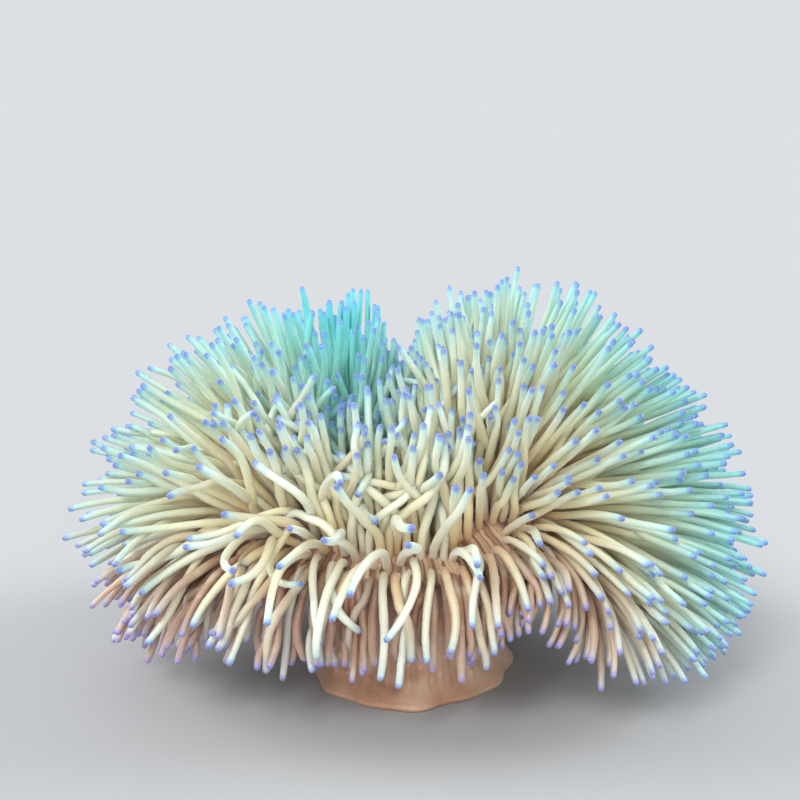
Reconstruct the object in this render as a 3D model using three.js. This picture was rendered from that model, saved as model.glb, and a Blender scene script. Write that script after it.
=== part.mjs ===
// Leathery sea anemone (Heteractis crispa), life size: a short column on a flat
// pedal disc carries a wide oral disc that bulges into two lobes, with tentacles
// all over it that stand up inside, lean out at the sides and hang at the margin.
// Millimetres, +Z up, origin at the centre of the pedal disc, on the ground.
// The front of the animal, where the crown parts and hangs as a fringe, faces -Y.
import * as THREE from 'three';

// ---- foot and column
const FOOT_RADIUS = 68;
const FOOT_HEIGHT = 7;
const FOOT_TOP_RADIUS = 63;
const WAIST_RADIUS = 54;
const WAIST_HEIGHT = 36;
const FLARE_POWER = 1.6;          // how late the column opens towards the disc
const FLARE_RINGS = 3;

// ---- oral disc: an ellipse from above, raised by two round lobes
const DISC_HALF_WIDTH = 142;
const DISC_HALF_DEPTH = 100;
const DISC_HEIGHT = 100;
const DISC_THICKNESS = 8;
const LOBES = [
  { x: -74, y: 10, spreadX: 62, spreadY: 70, height: 58 },
  { x: 80, y: 0, spreadX: 62, spreadY: 72, height: 75 },
];
// How far the margin falls below the disc, by bearing round it (0 = +X, -90 = front).
const MARGIN_FALL = [
  { bearing: -180, fall: 50 }, { bearing: -150, fall: 30 }, { bearing: -125, fall: 10 },
  { bearing: -100, fall: 6 }, { bearing: -78, fall: 6 }, { bearing: -58, fall: 16 },
  { bearing: -35, fall: 62 }, { bearing: -10, fall: 70 }, { bearing: 30, fall: 62 },
  { bearing: 90, fall: 50 }, { bearing: 150, fall: 56 },
];
const FALL_BLEND = 16;            // degrees over which neighbouring bearings mix
const FALL_POWER = 5;             // the fall is all near the margin
const MARGIN_TUCK = 0.05;         // share by which the margin curls in
const MARGIN_TUCK_POWER = 8;

// ---- how the disc is parted; a place on it is a share (0 centre, 1 margin) and an angle
const SECTORS = 12;
const MOUTH_SHARE = 0.1;
const PART_GAP = 0.36;            // width of every cut between pieces
const RINGS = [
  { name: 'inner', rows: [0.25, 0.365, 0.475], columns: 2, shape: 'straight', last: { share: 0.52, columns: 3 } },
  { name: 'middle', rows: [0.52, 0.635, 0.745], columns: 3, shape: 'straight', last: { share: 0.785, columns: 4 } },
  { name: 'outer', rows: [0.785, 0.89, 1], columns: 4, shape: 'bent', last: null },
];

// ---- mouth: two closed lips across the middle of the disc
const LIP_RISE = 7;
const SLIT_DEPTH = 3;

// ---- tentacles, by share of the disc at the root
const LENGTH = { at: [0.2, 0.5, 0.85, 0.93, 1], value: [90, 96, 97, 92, 84] };
const FRONT_SHORTER = { at: [0.7, 0.85, 1], value: [0, 0.22, 0.26] };
const LEAN_OUT = { at: [0, 0.3, 0.55, 0.75, 0.88, 1], value: [2, 14, 34, 60, 83, 104] };
const LEAN_FRONT = { at: [0, 0.3, 0.6, 0.78, 0.86, 0.93, 1], value: [0, 3, 8, 16, 55, 90, 114] };
const SAG = { at: [0.6, 0.85, 1], value: [0, 0.5, 1.4] };
const SAG_PLACE = { side: 0.2, front: 1.5 };
const SAG_PER_STEP = 0.16;
const FRONT_CENTRE_X = -15;
const FRONT_SPREAD = 62;
const LOBE_LEAN = { side: 0.4, front: 0.2 };  // tentacles lean down the slope of a lobe
const LENGTH_VARIES = 0.07;
const LEAN_VARIES = 0.09;
const STAGGER = 0.05;             // neighbours in a row lean as if rooted in or out by this share
const TENTACLE_STEPS = 12;
const STATIONS = {                // the steps at which a tentacle has a ring of corners
  straight: [{ step: 4, radius: 4.7 }, { step: 11, radius: 3.6 }],
  bent: [{ step: 3, radius: 4.9 }, { step: 7, radius: 4.4 }, { step: 11, radius: 3.7 }],
};
const ROOT_RADIUS = 5.2;
const ROOT_RISE = 1.2;
const CLEARANCE = 10.8;           // kept between the middles of any two tentacles
const SETTLING_ROUNDS = 120;
const LOWEST_TIP = 9;

// ---- surface of the oral disc
const degrees = THREE.MathUtils.degToRad;

function along({ at, value }, x) {
  if (x <= at[0]) return value[0];
  for (let i = 1; i < at.length; i += 1) {
    if (x <= at[i]) return THREE.MathUtils.mapLinear(x, at[i - 1], at[i], value[i - 1], value[i]);
  }
  return value[value.length - 1];
}

function marginFall(angle) {
  let sum = 0;
  let weights = 0;
  for (const { bearing, fall } of MARGIN_FALL) {
    const turn = THREE.MathUtils.euclideanModulo(angle - degrees(bearing) + Math.PI, 2 * Math.PI) - Math.PI;
    const weight = Math.exp(-((turn / degrees(FALL_BLEND)) ** 2));
    sum += weight * fall;
    weights += weight;
  }
  return sum / weights;
}

function lobes(x, y) {
  const out = { rise: 0, slopeX: 0, slopeY: 0 };
  for (const lobe of LOBES) {
    const u = (x - lobe.x) / lobe.spreadX;
    const v = (y - lobe.y) / lobe.spreadY;
    const rise = lobe.height * Math.exp(-u * u - v * v);
    out.rise += rise;
    out.slopeX -= 2 * u * rise / lobe.spreadX;
    out.slopeY -= 2 * v * rise / lobe.spreadY;
  }
  return out;
}

function discPoint(share, angle) {
  const reach = share * (1 - MARGIN_TUCK * share ** MARGIN_TUCK_POWER);
  const x = DISC_HALF_WIDTH * reach * Math.cos(angle);
  const y = DISC_HALF_DEPTH * reach * Math.sin(angle);
  const z = DISC_HEIGHT + lobes(x, y).rise - marginFall(angle) * share ** FALL_POWER;
  return new THREE.Vector3(x, y, z);
}

function discNormal(share, angle) {
  const step = 1e-3;
  if (share < step) return new THREE.Vector3(0, 0, 1);
  const outward = discPoint(share + step, angle).sub(discPoint(share - step, angle));
  const round = discPoint(share, angle + step).sub(discPoint(share, angle - step));
  return outward.cross(round).normalize();
}

function underDisc(share, angle, depth) {
  return discPoint(share, angle).addScaledVector(discNormal(share, angle), -depth);
}

// ---- a closed solid, collected as corners and triangles
class Solid {
  corners = [];
  faces = [];

  corner(point) {
    this.corners.push(point.x, point.y, point.z);
    return this.corners.length / 3 - 1;
  }

  triangle(a, b, c, flipped = false) {
    this.faces.push(a, flipped ? c : b, flipped ? b : c);
  }

  quad(a, b, c, d, flipped = false) {
    this.triangle(a, b, c, flipped);
    this.triangle(a, c, d, flipped);
  }

  // The strip between two rows of corners, which may differ in number.
  strip(inner, outer, flipped = false) {
    const innerSteps = inner.length - 1;
    const outerSteps = outer.length - 1;
    let i = 0;
    let j = 0;
    while (i < innerSteps || j < outerSteps) {
      if (j < outerSteps && (i === innerSteps || (j + 1) * innerSteps <= (i + 1) * outerSteps)) {
        this.triangle(inner[i], outer[j], outer[j + 1], flipped);
        j += 1;
      } else {
        this.triangle(inner[i], outer[j], inner[i + 1], flipped);
        i += 1;
      }
    }
  }

  mesh(name, material) {
    const geometry = new THREE.BufferGeometry();
    geometry.setAttribute('position', new THREE.Float32BufferAttribute(this.corners, 3));
    geometry.setIndex(this.faces);
    geometry.computeVertexNormals();
    const mesh = new THREE.Mesh(geometry, material);
    mesh.name = name;
    return mesh;
  }
}

// ---- tentacles: the middle line of each, grown from its root and then settled apart
function noise(index, channel) {
  const value = Math.sin(index * 12.9898 + channel * 78.233) * 43758.5453;
  return 2 * (value - Math.floor(value)) - 1;
}

function frontWeight(x, angle) {
  const across = (x - FRONT_CENTRE_X) / FRONT_SPREAD;
  return Math.exp(-across * across) * Math.max(0, -Math.sin(angle));
}

function growTentacle(index, share, angle, stagger) {
  const root = discPoint(share, angle);
  const front = frontWeight(root.x, angle);
  const mix = THREE.MathUtils.lerp;
  const leanShare = share + stagger;
  const lean = degrees(mix(along(LEAN_OUT, leanShare), along(LEAN_FRONT, leanShare), front));
  const { slopeX, slopeY } = lobes(root.x, root.y);
  const lobeLean = mix(LOBE_LEAN.side, LOBE_LEAN.front, front);
  const heading = new THREE.Vector3(
    Math.cos(angle) * Math.sin(lean) - lobeLean * slopeX + LEAN_VARIES * noise(index, 1),
    Math.sin(angle) * Math.sin(lean) - lobeLean * slopeY + LEAN_VARIES * noise(index, 2),
    Math.cos(lean) + LEAN_VARIES * noise(index, 3),
  ).normalize();
  const length = along(LENGTH, share) * (1 - front * along(FRONT_SHORTER, share))
    * (1 + LENGTH_VARIES * noise(index, 4));
  const sag = along(SAG, share) * mix(SAG_PLACE.side, SAG_PLACE.front, front) * SAG_PER_STEP;
  const line = [root];
  for (let step = 1; step <= TENTACLE_STEPS; step += 1) {
    heading.z -= sag;
    heading.normalize();
    line.push(line[step - 1].clone().addScaledVector(heading, length / TENTACLE_STEPS));
  }
  return { line, share, angle, stride: length / TENTACLE_STEPS };
}

function settle(tentacles) {
  const apart = new THREE.Vector3();
  for (let round = 0; round < SETTLING_ROUNDS; round += 1) {
    const moves = tentacles.map(({ line }) => line.map(() => new THREE.Vector3()));
    for (let a = 0; a < tentacles.length; a += 1) {
      for (let b = a + 1; b < tentacles.length; b += 1) {
        pushApart(tentacles[a].line, tentacles[b].line, moves[a], moves[b], apart);
      }
    }
    tentacles.forEach((tentacle, index) => follow(tentacle, moves[index]));
  }
}

function pushApart(lineA, lineB, movesA, movesB, apart) {
  const reach = 110;              // two tentacles with roots further apart never touch
  if (lineA[0].distanceTo(lineB[0]) > 2 * reach) return;
  for (let i = 2; i <= TENTACLE_STEPS; i += 1) {
    for (let j = 2; j <= TENTACLE_STEPS; j += 1) {
      apart.subVectors(lineA[i], lineB[j]);
      const distance = apart.length();
      if (distance >= CLEARANCE) continue;
      apart.multiplyScalar(0.3 * (CLEARANCE - distance) / (distance + 1e-6));
      movesA[i].add(apart);
      movesB[j].sub(apart);
    }
  }
}

function follow({ line, stride }, moves) {
  const longest = 1.2;
  for (let step = 1; step <= TENTACLE_STEPS; step += 1) {
    line[step].add(moves[step].clampLength(0, longest));
  }
  for (let step = 1; step < TENTACLE_STEPS; step += 1) {
    line[step].lerp(line[step - 1].clone().add(line[step + 1]).multiplyScalar(0.5), 0.3);
  }
  for (let step = 1; step <= TENTACLE_STEPS; step += 1) {
    const heading = line[step].clone().sub(line[step - 1]).setLength(stride);
    line[step].copy(line[step - 1]).add(heading);
    line[step].z = Math.max(line[step].z, LOWEST_TIP);
  }
}

// ---- places of the roots: the middle of every quad between rows with equal columns
function sectorAngle(sector, share, fraction) {
  const width = 2 * Math.PI / SECTORS;
  const radius = Math.hypot(DISC_HALF_WIDTH, DISC_HALF_DEPTH) / Math.SQRT2 * share;
  const cut = PART_GAP / 2 / radius;
  return (sector + fraction) * width + cut * (1 - 2 * fraction);
}

function ringRows(ring) {
  const rows = ring.rows.map((share) => ({ share, columns: ring.columns }));
  if (ring.last) rows.push(ring.last);
  return rows;
}

const tentacles = new Map();
RINGS.forEach((ring, ringIndex) => {
  for (let sector = 0; sector < SECTORS; sector += 1) {
    for (let row = 0; row + 1 < ring.rows.length; row += 1) {
      for (let column = 0; column < ring.columns; column += 1) {
        const share = (ring.rows[row] + ring.rows[row + 1]) / 2;
        const angle = sectorAngle(sector, share, (column + 0.5) / ring.columns);
        const inOrOut = (sector * ring.columns + column + row) % 2 ? STAGGER : -STAGGER;
        const key = [ringIndex, sector, row, column].join();
        tentacles.set(key, growTentacle(tentacles.size + 1, share, angle, inOrOut));
      }
    }
  }
});
settle([...tentacles.values()]);

// ---- one sector of one ring of the disc, with its tentacles
function addTentacle(solid, base, stations, { line, share, angle }) {
  const corners = base.map((index) => new THREE.Vector3().fromArray(solid.corners, 3 * index));
  const centre = new THREE.Vector3();
  corners.forEach((corner) => centre.addScaledVector(corner, 1 / corners.length));
  const normal = discNormal(share, angle);
  let room = Infinity;
  corners.forEach((corner, edge) => {
    const middle = corner.clone().add(corners[(edge + 1) % corners.length]).multiplyScalar(0.5);
    room = Math.min(room, middle.distanceTo(centre));
  });
  const rootRadius = Math.min(ROOT_RADIUS, 1.1 * room);
  const raised = centre.clone().addScaledVector(normal, ROOT_RISE);
  let ring = corners.map((corner) => solid.corner(
    corner.clone().sub(centre).setLength(rootRadius).add(raised),
  ));
  joinRings(solid, base, ring);

  let tangent = normal;
  const side = corners[0].clone().sub(centre).projectOnPlane(normal).normalize();
  const turn = new THREE.Quaternion();
  stations.forEach(({ step, radius }) => {
    const next = line[step + 1].clone().sub(line[step - 1]).normalize();
    side.applyQuaternion(turn.setFromUnitVectors(tangent, next));
    tangent = next;
    const across = next.clone().cross(side);
    const girth = Math.min(radius, rootRadius);
    const upper = base.map((_, edge) => {
      const round = edge * Math.PI / 2;
      return solid.corner(line[step].clone()
        .addScaledVector(side, girth * Math.cos(round))
        .addScaledVector(across, girth * Math.sin(round)));
    });
    joinRings(solid, ring, upper);
    ring = upper;
  });
  const tip = solid.corner(line[TENTACLE_STEPS]);
  ring.forEach((corner, edge) => solid.triangle(corner, ring[(edge + 1) % ring.length], tip));
}

function joinRings(solid, lower, upper) {
  lower.forEach((corner, edge) => {
    const next = (edge + 1) % lower.length;
    solid.quad(corner, lower[next], upper[next], upper[edge]);
  });
}

function crownPiece(ring, ringIndex, sector) {
  const solid = new Solid();
  const rows = ringRows(ring);
  const firstShare = rows[0].share;
  const lastShare = rows[rows.length - 1].share;
  const cutShare = PART_GAP / 2 / DISC_HALF_DEPTH;
  const layers = [0, DISC_THICKNESS].map((depth) => rows.map(({ share, columns }) => {
    let place = share;
    if (share === firstShare) place += cutShare;
    if (share === lastShare && ring.last) place -= cutShare;
    return Array.from({ length: columns + 1 }, (_, column) => solid.corner(
      underDisc(place, sectorAngle(sector, place, column / columns), depth),
    ));
  }));
  const [top, bottom] = layers;
  for (let row = 0; row + 1 < rows.length; row += 1) {
    if (rows[row].columns !== rows[row + 1].columns) {
      solid.strip(top[row], top[row + 1]);
    } else {
      for (let column = 0; column < rows[row].columns; column += 1) {
        const base = [top[row][column], top[row + 1][column],
          top[row + 1][column + 1], top[row][column + 1]];
        const tentacle = tentacles.get([ringIndex, sector, row, column].join());
        addTentacle(solid, base, STATIONS[ring.shape], tentacle);
      }
    }
    solid.strip(bottom[row], bottom[row + 1], true);
    const [startA, endA, startB, endB] = [row, row + 1].flatMap((at) => [
      [top[at][0], bottom[at][0]], [top[at].at(-1), bottom[at].at(-1)],
    ]);
    closeSide(solid, startA, startB);
    closeSide(solid, endA, endB, true);
  }
  closeEdge(solid, top[0], bottom[0], true);
  closeEdge(solid, top.at(-1), bottom.at(-1));
  const number = String(sector + 1).padStart(2, '0');
  return solid.mesh(`tentacles_${ring.name}_${number}`, crownMaterial(ringIndex));
}

// The wall between two upright lines, each a top and a bottom corner. Neighbouring
// pieces split a wall along the same diagonal, so their cuts stay parallel.
function closeSide(solid, [topA, bottomA], [topB, bottomB], flipped = false) {
  solid.quad(topA, bottomA, bottomB, topB, flipped);
}

function closeEdge(solid, top, bottom, flipped = false) {
  for (let i = 0; i + 1 < top.length; i += 1) {
    closeSide(solid, [top[i], bottom[i]], [top[i + 1], bottom[i + 1]], flipped);
  }
}

// ---- bare middle of the disc, mouth, column and foot
function circleRow(solid, count, place) {
  const row = Array.from({ length: count }, (_, i) => solid.corner(place(i * 2 * Math.PI / count)));
  return [...row, row[0]];
}

function oralDisc() {
  const solid = new Solid();
  const count = SECTORS * RINGS[0].columns;
  const cut = PART_GAP / 2 / DISC_HALF_DEPTH;
  const shares = [MOUTH_SHARE + cut, RINGS[0].rows[0] - cut];
  const [topIn, topOut] = shares.map((share) => circleRow(solid, count, (angle) => discPoint(share, angle)));
  const [lowIn, lowOut] = shares.map((share) => circleRow(
    solid, count, (angle) => underDisc(share, angle, DISC_THICKNESS),
  ));
  solid.strip(topIn, topOut);
  solid.strip(lowIn, lowOut, true);
  solid.strip(topOut, lowOut);
  solid.strip(topIn, lowIn, true);
  return solid.mesh('oral_disc', discMaterial());
}

function mouth() {
  const solid = new Solid();
  const count = SECTORS * RINGS[0].columns;
  const edge = MOUTH_SHARE - PART_GAP / 2 / DISC_HALF_DEPTH;
  const lip = (angle) => discPoint(edge / 2, angle)
    .add(new THREE.Vector3(0, 0, LIP_RISE * (0.55 + 0.45 * Math.sin(angle) ** 2)));
  const slit = (angle) => {
    const point = discPoint(edge / 2, angle);
    point.y *= 0.25;
    point.z += LIP_RISE - SLIT_DEPTH;
    return point;
  };
  const rows = [
    circleRow(solid, count, slit),
    circleRow(solid, count, lip),
    circleRow(solid, count, (angle) => discPoint(edge, angle)),
    circleRow(solid, count, (angle) => underDisc(edge, angle, DISC_THICKNESS)),
  ];
  closeMiddle(solid, rows[0], discPoint(0, 0).add(new THREE.Vector3(0, 0, LIP_RISE - SLIT_DEPTH)));
  for (let row = 0; row + 1 < rows.length; row += 1) solid.strip(rows[row], rows[row + 1]);
  closeMiddle(solid, rows.at(-1), underDisc(0, 0, DISC_THICKNESS), true);
  return solid.mesh('mouth', lipMaterial());
}

function closeMiddle(solid, row, centre, flipped = false) {
  const middle = solid.corner(centre);
  for (let i = 0; i + 1 < row.length; i += 1) solid.triangle(middle, row[i], row[i + 1], flipped);
}

function column() {
  const solid = new Solid();
  const depth = DISC_THICKNESS + PART_GAP;
  const inner = RINGS[0];
  const shares = [{ share: MOUTH_SHARE, columns: inner.columns }, ...ringRows(inner)];
  const top = shares.map(({ share, columns }) => circleRow(
    solid, SECTORS * columns, (angle) => underDisc(share, angle, depth),
  ));
  closeMiddle(solid, top[0], underDisc(0, 0, depth));
  for (let row = 0; row + 1 < top.length; row += 1) solid.strip(top[row], top[row + 1]);
  const count = SECTORS * inner.last.columns;
  const round = (radius, height) => circleRow(solid, count, (angle) => new THREE.Vector3(
    radius * Math.cos(angle), radius * Math.sin(angle), height,
  ));
  const sides = [top.at(-1)];
  for (let ring = FLARE_RINGS; ring >= 1; ring -= 1) {
    const rise = ring / (FLARE_RINGS + 1);
    sides.push(circleRow(solid, count, (angle) => {
      const rim = underDisc(inner.last.share, angle, depth);
      const spread = rise ** FLARE_POWER;
      return new THREE.Vector3(
        THREE.MathUtils.lerp(WAIST_RADIUS * Math.cos(angle), rim.x, spread),
        THREE.MathUtils.lerp(WAIST_RADIUS * Math.sin(angle), rim.y, spread),
        THREE.MathUtils.lerp(WAIST_HEIGHT, rim.z, rise),
      );
    }));
  }
  sides.push(round(WAIST_RADIUS, WAIST_HEIGHT));
  sides.push(round(FOOT_TOP_RADIUS, FOOT_HEIGHT + PART_GAP));
  for (let row = 0; row + 1 < sides.length; row += 1) solid.strip(sides[row], sides[row + 1]);
  closeMiddle(solid, sides.at(-1), new THREE.Vector3(0, 0, FOOT_HEIGHT + PART_GAP), true);
  return solid.mesh('column', columnMaterial());
}

function pedalDisc() {
  const bevel = FOOT_RADIUS - FOOT_TOP_RADIUS;
  const profile = [[0, 0], [FOOT_RADIUS - bevel / 4, 0], [FOOT_RADIUS, FOOT_HEIGHT / 4],
    [FOOT_TOP_RADIUS, FOOT_HEIGHT], [0, FOOT_HEIGHT]].map(([x, y]) => new THREE.Vector2(x, y));
  const segments = SECTORS * RINGS[0].last.columns;
  const mesh = new THREE.Mesh(new THREE.LatheGeometry(profile, segments), columnMaterial());
  mesh.rotation.x = Math.PI / 2;
  mesh.name = 'pedal_disc';
  return mesh;
}

// ---- materials
function fleshMaterial(color, roughness) {
  return new THREE.MeshStandardMaterial({ color, roughness, metalness: 0 });
}

function crownMaterial(ringIndex) {
  return fleshMaterial([0xd9cfae, 0xd3d6bb, 0xc2d3bf][ringIndex], 0.45);
}

function discMaterial() {
  return fleshMaterial(0xc0a27c, 0.5);
}

function lipMaterial() {
  return fleshMaterial(0xd2b48f, 0.45);
}

function columnMaterial() {
  return fleshMaterial(0xb08a6c, 0.6);
}

// ---- the animal
const anemone = new THREE.Group();
anemone.add(pedalDisc(), column(), oralDisc(), mouth());
RINGS.forEach((ring, ringIndex) => {
  for (let sector = 0; sector < SECTORS; sector += 1) {
    anemone.add(crownPiece(ring, ringIndex, sector));
  }
});

export default anemone;
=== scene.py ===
"""A leathery sea anemone (Heteractis crispa) as a still, life-size model.

One skin runs from the pedal disc up the column, round the margin and over the
oral disc to the closed mouth. Tentacles grow all over the disc, each a smooth
tapering tube with a violet tip. The disc, its lobes and the lengths by share of
the disc are the solids' own. Each region's reach, and the front's lean and sag,
are fitted to the photograph here. Tentacles that overlap are then pushed apart,
which leaves some of them crossing.

+X is the viewer's right, -Y the front and +Z up. Lengths are millimetres until
a mesh is made, and metres after that; bearings run round the disc in degrees,
0 at +X and -90 at the front. A pair called ..._BAND is where a smooth step
starts and ends.
"""

import math

import bpy
import numpy as np
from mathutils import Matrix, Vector
from mathutils.kdtree import KDTree


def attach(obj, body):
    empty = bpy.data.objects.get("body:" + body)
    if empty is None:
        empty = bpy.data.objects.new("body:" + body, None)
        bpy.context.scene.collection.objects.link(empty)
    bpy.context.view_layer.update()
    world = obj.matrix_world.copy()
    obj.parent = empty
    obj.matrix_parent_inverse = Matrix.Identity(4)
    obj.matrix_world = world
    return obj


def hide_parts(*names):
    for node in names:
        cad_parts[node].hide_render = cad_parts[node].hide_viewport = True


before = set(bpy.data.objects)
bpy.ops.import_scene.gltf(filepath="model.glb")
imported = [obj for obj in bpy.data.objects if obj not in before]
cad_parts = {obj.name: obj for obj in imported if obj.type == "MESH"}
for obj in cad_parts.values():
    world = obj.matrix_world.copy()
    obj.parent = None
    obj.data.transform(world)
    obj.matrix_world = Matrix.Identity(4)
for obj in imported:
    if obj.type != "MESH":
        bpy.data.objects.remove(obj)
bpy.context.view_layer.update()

MM = 0.001
SEED = 7

# ---- foot and column
FOOT_RADIUS = 68
FOOT_EDGE = 3.2                # radius of the foot's rounded edge
FOOT_LOBES = [(0.028, 3, 1), (0.022, 7, 0), (0.014, 13, 2)]    # share of the radius, count, phase
WAIST_RADIUS = 54
WAIST_HEIGHT = 36
WAIST_POWER = 2.2              # how soon the foot narrows to the waist
FLARE_POWER = 1.6              # how late the column widens to the disc
FLARE_SHARE = 0.52             # share of the disc, centre to margin, where the column meets it

# ---- oral disc: an ellipse from above, raised by two round lobes
DISC_HALF_WIDTH = 142
DISC_HALF_DEPTH = 100
DISC_HEIGHT = 100
DISC_THICKNESS = 8
MARGIN_THICKNESS = 5
LOBES = [  # x, y, spread along x and y, height
    (-74, 10, 62, 70, 58),
    (80, 0, 62, 72, 75),
]
FALL_BEARINGS = [-180, -150, -125, -100, -78, -58, -35, -10, 30, 90, 150]
FALLS = [50, 30, 10, 6, 6, 16, 62, 70, 62, 50, 56]      # how far the margin falls there
FALL_BLEND = 16                # degrees over which neighbouring falls blend
FALL_POWER = 5
MARGIN_TUCK = 0.05
MARGIN_TUCK_POWER = 8

# ---- mouth
MOUTH_SHARE = 0.1
LIP_RISE = 7
LIP_ROUNDNESS = 0.8
LIP_AT_ENDS, LIP_AT_SIDES = 0.6, 0.4      # the lips' height at the slit's ends, and more beside it
LIP_FOLDS, LIP_FOLD_DEPTH = 22, 0.10
SLIT_DEPTH = 5
SLIT_NARROW = 0.3              # width of the slit where it closes, as a share of a round mouth's
SLIT_BAND, NARROW_BAND = (0, 0.45), (0, 0.8)            # shares of the mouth

# ---- relief of the skin
SKIN_AROUND = 384
FOOT_RINGS, EDGE_TURNS, WAIST_RINGS, COLUMN_RINGS = 8, [22, 45, 68, 90], 24, 30
UNDERSIDE_RINGS, MARGIN_TURNS, DISC_RINGS, MOUTH_RINGS = 34, [-60, -30, 0, 30, 60], 92, 22
FIRST_RING, LAST_RING = 0.03, 0.004       # the rings round the middles of the foot and the mouth
JOIN_ROUNDS = 30               # rounds of smoothing where the column meets the disc
JOIN_BELOW, JOIN_ABOVE = 14, 12           # rows that they reach
WART_COLUMNS = 52
WART_ROWS = 3.4                # rows of the skin from one ring of warts to the next
WART_RISE = 1.3
WART_BAND = (0.6, 0.98)
WART_LEAST, WART_VARIES = 0.6, 0.4        # share of the rise that all warts have, and that some add
RIDGES = [1.2, 0.8, 0.9, 0.35]            # heights of the column's ridges, coarse to fine
WRINKLE_SHARE, FOOT_WRINKLE_SHARE = 0.25, 0.5
FURROWS = [0.5, 0.3]           # heights of the disc's radial furrows
WRINKLED_ROWS = (12, 32)       # rows over which the foot's wrinkles fade
COLUMN_FADE_IN, COLUMN_FADE_OUT = (13, 22), (-8, -2)    # rows of the skin, and rows before the disc's
DISC_FADE_IN, DISC_FADE_OUT = (0, 8), (-40, -20)        # rows after the disc's first, and before the last
DISC_COLOR_ROWS = (-6, 2)      # rows round the disc's first over which its colour begins
SHADE_UNDER_DISC_ROWS = (-26, -8)           # rows before the underside over which painted shade darkens the skin

# ---- where tentacles root, by share of the disc and bearing
CANDIDATES = 30000             # places tried, kept where no kept root is nearer than the pitch
FIRST_SHARE = 0.24
LAST_SHARE_SQUARED = 0.985      # shares are drawn by their squares, for an even spread
PITCH_AT, PITCHES = [-40, 60], [4.9, 4.5]               # by x of the root
FRONT_PITCH = 5.3
HANGING_PITCH = 7.3            # on the part of the disc that hangs over the front
HANGING_AT = [0.82, 0.9]
BARE_PATCHES = [  # share and bearing of the middle, and reach of each, where no tentacle grows
    (0.80, -68, 0.07, 8),
    (0.87, -84, 0.03, 8),
]
MARGIN_TENTACLES = 230         # the last cycle, hanging from the edge under the others
MARGIN_JITTER = 0.012          # radians
MARGIN_LEAN_SHARES = (1.03, 1.12)         # they lean as if they grew past the edge
MARGIN_SPARED = 0.32           # share of them left out in the middle of the front
FRONT_CENTRE_X = -15
FRONT_SPREAD_AT, FRONT_SPREADS = [0.72, 0.88], [84, 62]

# ---- the under row, brown partly by its own tone and partly as painted shade, by place of the root in front of and left of the middle
UNDER_LEFT_BAND, UNDER_FRONT_BAND = (-40, 60), (35, 85)
UNDER_FAR_LEFT_BAND = (40, 110)
RIBS_X, RIBS_SPREAD, RIBS_BAND = 72, 36, (40, 75)       # the rib-like row under the right lobe
UNDER_WIDER = 0.07             # share of the disc by which it is wider at the far left and the ribs
UNDER_BAND = (0.88, 1.01)
UNDER_LEAST = 0.25             # how far it stays brown and shaded at the back and the right

# ---- length, by share of the disc at the root
LENGTH_AT, LENGTHS = [0.2, 0.5, 0.85, 0.93, 1, 1.12], [90, 96, 97, 92, 84, 70]
LENGTH_VARIES = 0.07
LENGTH_LIMITS = (-0.2, 0.12)
FRONT_SHORTER_AT, FRONT_SHORTER = [0.7, 0.85, 1], [0, 0.22, 0.26]
REACH_BEARINGS = [-180, -165, -145, -125, -95, -75, -62, -50, -38, -15, 15, 35, 70, 125, 158, 180]
REACHES = [0.93, 1.10, 1.06, 0.96, 0.98, 0.78, 0.5, 0.72, 0.94, 1.07, 0.98, 0.87, 0.97, 0.98, 0.8, 0.93]
REACH_BAND = (0.4, 0.85)
LEFT_UNDER_SHORTER = 0.17      # the under row at the left ends higher than the fringe
LEFT_UNDER_BAND = (45, 95)
LENGTH_CHANGES = [  # place of the root from above, spread along x and y, change of length
    (-34, -18, 34, 34, -0.48),     # before the valley, so that it shows
    (-36, 52, 28, 36, 0.26),       # peak of the left lobe
    (0, 45, 22, 28, -0.26),        # behind the valley, so that the outline dips between the lobes
    (-105, 25, 35, 45, 0.07),      # upper left
    (118, 30, 40, 50, -0.15),      # upper right
    (90, -5, 14, 32, -0.16),       # shoulder of the right lobe
    (-103, -10, 9, 30, -0.17),     # shoulder of the left lobe
]

# ---- lean from upright in degrees, and bend
LEAN_AT, LEANS = [0, 0.3, 0.55, 0.75, 0.88, 1, 1.12], [2, 14, 34, 60, 83, 104, 124]
FRONT_LEAN_AT = [0, 0.3, 0.6, 0.79, 0.85, 0.93, 1, 1.12]
FRONT_LEANS = [0, 0, 2, 10, 78, 104, 120, 142]
FRONT_MIXING = 0.035           # how far tentacles that rise and that hang are mixed at the front
MIXING_BAND = (0.02, 0.1)
SIDE_LOBE_LEAN, FRONT_LOBE_LEAN = 0.4, 0.05             # lean away from the lobes' tops
BASE_LEAN = 0.6                # how far the base already leans the way the tentacle heads
SAG = 0.16                     # bend downwards at each step, in radians
SAG_AT, SAGS = [0.8, 0.87, 1], [0, 0.7, 1.4]
SIDE_SAG, FRONT_SAG, LEFT_SAG = 0.2, 1.5, 0.25
LEFT_SAG_X_BAND, LEFT_SAG_Y_BAND = (70, 115), (-25, 10)
UNRULY_X, UNRULY_SPREAD, UNRULY_BAND = -35, 75, (-40, 40)
CALM_LEAN_VARIES, UNRULY_LEAN_VARIES = 0.045, 0.10
CALM_WAVE, UNRULY_WAVE = 0.018, 0.075
SLOW_WAVE, QUICK_WAVE = 3, 5   # radians of the two waves from root to tip
KINKED, KINK = 0.3, 0.6        # share of the unruly tentacles with a sharp bend, and its size
KINK_PLACES, KINK_WIDTH = (0.35, 0.85), 0.08            # shares of the tentacle
CURL_BEARING, CURL_SPREAD, CURL, CURL_BAND = -52, 13, 0.09, (0.88, 1.0)    # of the rib-like row

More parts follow.
